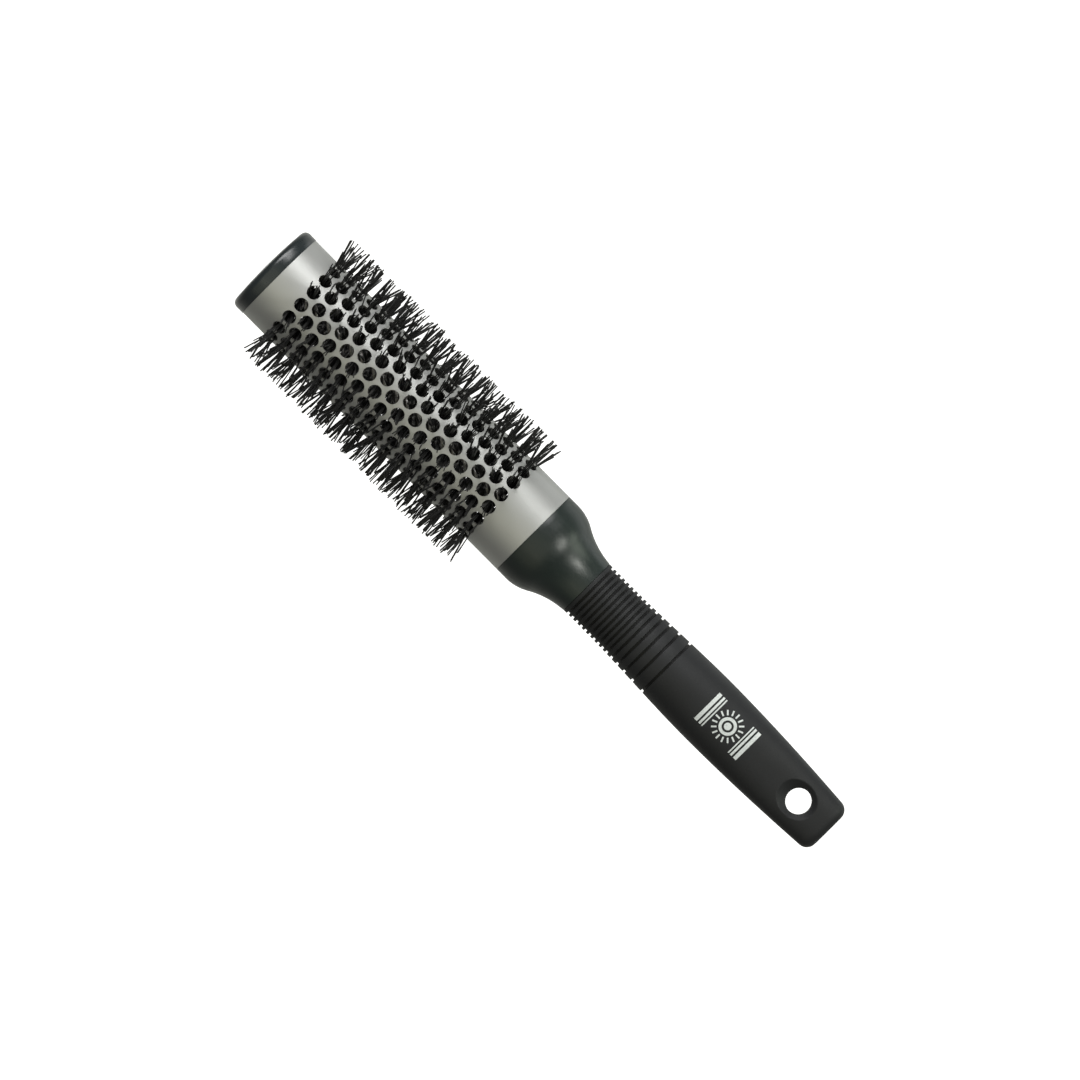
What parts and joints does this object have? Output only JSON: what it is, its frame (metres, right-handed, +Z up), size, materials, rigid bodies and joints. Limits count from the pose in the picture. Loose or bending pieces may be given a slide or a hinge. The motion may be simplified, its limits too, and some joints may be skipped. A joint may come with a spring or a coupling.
{
  "type": "round barrel hair brush",
  "caption": "Round thermal styling brush: perforated metal barrel with bristle tufts through its holes, flared neck, ribbed soft grip with a hanging hole.",
  "frame": {"origin": "centre of the hanging hole near the handle's end, midway through the handle", "axes": "+X along the brush towards the barrel's end cap, +Z up along the hanging hole's axis, so the brush lies with the handle's flat side up; +Y across the handle"},
  "size_m": [0.2487, 0.05, 0.0502],
  "materials": {
    "core_plastic": "gloss",
    "grip_rubber": "matte",
    "barrel_metal": "satin",
    "cap_plastic": "gloss",
    "stem_steel": "satin",
    "bristle_nylon": "satin"
  },
  "bodies": {
    "root": {"handle_core": "core_plastic", "grip_sleeve": "grip_rubber", "barrel_tube": "barrel_metal", "end_cap": "cap_plastic", "stem_wire_a": "stem_steel", "stem_wire_b": "stem_steel", "bristle_ring_01": "bristle_nylon", "bristle_ring_02": "bristle_nylon", "bristle_ring_03": "bristle_nylon", "bristle_ring_04": "bristle_nylon", "bristle_ring_05": "bristle_nylon", "bristle_ring_06": "bristle_nylon", "bristle_ring_07": "bristle_nylon", "bristle_ring_08": "bristle_nylon", "bristle_ring_09": "bristle_nylon", "bristle_ring_10": "bristle_nylon", "bristle_ring_11": "bristle_nylon", "bristle_ring_12": "bristle_nylon", "bristle_ring_13": "bristle_nylon", "bristle_ring_14": "bristle_nylon", "bristle_ring_15": "bristle_nylon", "bristle_ring_16": "bristle_nylon", "bristle_ring_17": "bristle_nylon", "bristle_ring_18": "bristle_nylon"}
  },
  "joints": []
}
